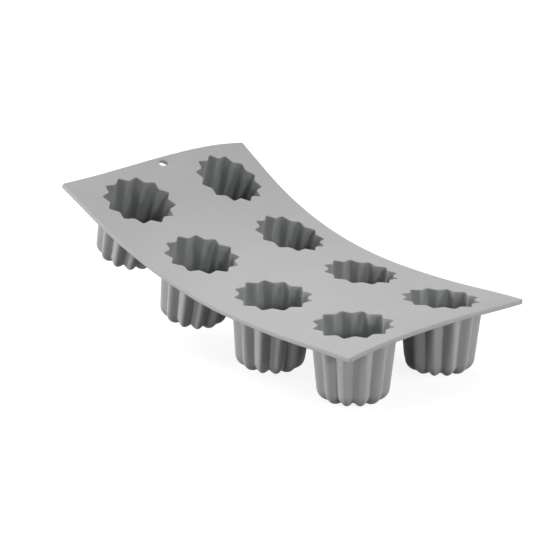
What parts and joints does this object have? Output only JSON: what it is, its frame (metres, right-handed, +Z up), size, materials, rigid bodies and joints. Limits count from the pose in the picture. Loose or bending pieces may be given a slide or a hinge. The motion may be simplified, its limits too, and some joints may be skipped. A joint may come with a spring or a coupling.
{
  "type": "canele mould",
  "caption": "Flexible silicone baking sheet with fluted canele cups hanging below it, in two columns, flexed up at one end, with a hanging hole.",
  "frame": {"origin": "on the surface it stands on, under the middle of the mould's box", "axes": "+X along the sheet from the raised end (row 4) to the level end (row 1), +Y across it from front to back, +Z up"},
  "size_m": [0.295, 0.176, 0.1245],
  "materials": {
    "silicone": "matt moulded silicone, mid grey, faintly satin on the flat top"
  },
  "bodies": {
    "row_1": {"sheet_row_1": "silicone", "cup_wall_1_front": "silicone", "cup_wall_1_back": "silicone"},
    "floor_1_front": {"cup_floor_1_front": "silicone"},
    "floor_1_back": {"cup_floor_1_back": "silicone"},
    "row_2": {"sheet_row_2": "silicone", "cup_wall_2_front": "silicone", "cup_wall_2_back": "silicone", "flex_web_1_2": "silicone"},
    "floor_2_front": {"cup_floor_2_front": "silicone"},
    "floor_2_back": {"cup_floor_2_back": "silicone"},
    "row_3": {"sheet_row_3": "silicone", "cup_wall_3_front": "silicone", "cup_wall_3_back": "silicone", "flex_web_2_3": "silicone"},
    "floor_3_front": {"cup_floor_3_front": "silicone"},
    "floor_3_back": {"cup_floor_3_back": "silicone"},
    "row_4": {"sheet_row_4": "silicone", "cup_wall_4_front": "silicone", "cup_wall_4_back": "silicone", "flex_web_3_4": "silicone"},
    "floor_4_front": {"cup_floor_4_front": "silicone"},
    "floor_4_back": {"cup_floor_4_back": "silicone"}
  },
  "joints": [
    {"name": "bend_1_2", "type": "hinge", "parent": "row_1", "child": "row_2", "pos_m": [0.07248, 0, 0.05078], "axis": [0, 1, 0], "range_deg": [-30.9, 69.1], "stiffness_Nm_per_rad": 6, "deforming": ["flex_web_1_2"]},
    {"name": "bend_2_3", "type": "hinge", "parent": "row_2", "child": "row_3", "pos_m": [-0.00219, 0, 0.05947], "axis": [0, 1, 0], "range_deg": [-36.8, 63.2], "stiffness_Nm_per_rad": 6, "deforming": ["flex_web_2_3"]},
    {"name": "bend_3_4", "type": "hinge", "parent": "row_3", "child": "row_4", "pos_m": [-0.07369, 0, 0.08266], "axis": [0, 1, 0], "range_deg": [-37.6, 62.4], "stiffness_Nm_per_rad": 6, "deforming": ["flex_web_3_4"]},
    {"name": "push_1_front", "type": "slide", "parent": "row_1", "child": "floor_1_front", "axis": [0.0006, 0, 1], "range_m": [0, 0.015], "stiffness_N_per_m": 500},
    {"name": "push_1_back", "type": "slide", "parent": "row_1", "child": "floor_1_back", "axis": [0.0006, 0, 1], "range_m": [0, 0.015], "stiffness_N_per_m": 500},
    {"name": "push_2_front", "type": "slide", "parent": "row_2", "child": "floor_2_front", "axis": [0.0803, 0, 0.9968], "range_m": [0, 0.015], "stiffness_N_per_m": 500},
    {"name": "push_2_back", "type": "slide", "parent": "row_2", "child": "floor_2_back", "axis": [0.0803, 0, 0.9968], "range_m": [0, 0.015], "stiffness_N_per_m": 500},
    {"name": "push_3_front", "type": "slide", "parent": "row_3", "child": "floor_3_front", "axis": [0.2415, -0.0067, 0.9704], "range_m": [0, 0.015], "stiffness_N_per_m": 500},
    {"name": "push_3_back", "type": "slide", "parent": "row_3", "child": "floor_3_back", "axis": [0.2415, -0.0067, 0.9704], "range_m": [0, 0.015], "stiffness_N_per_m": 500},
    {"name": "push_4_front", "type": "slide", "parent": "row_4", "child": "floor_4_front", "axis": [0.4087, -0.0596, 0.9107], "range_m": [0, 0.015], "stiffness_N_per_m": 500},
    {"name": "push_4_back", "type": "slide", "parent": "row_4", "child": "floor_4_back", "axis": [0.4087, -0.0596, 0.9107], "range_m": [0, 0.015], "stiffness_N_per_m": 500}
  ]
}
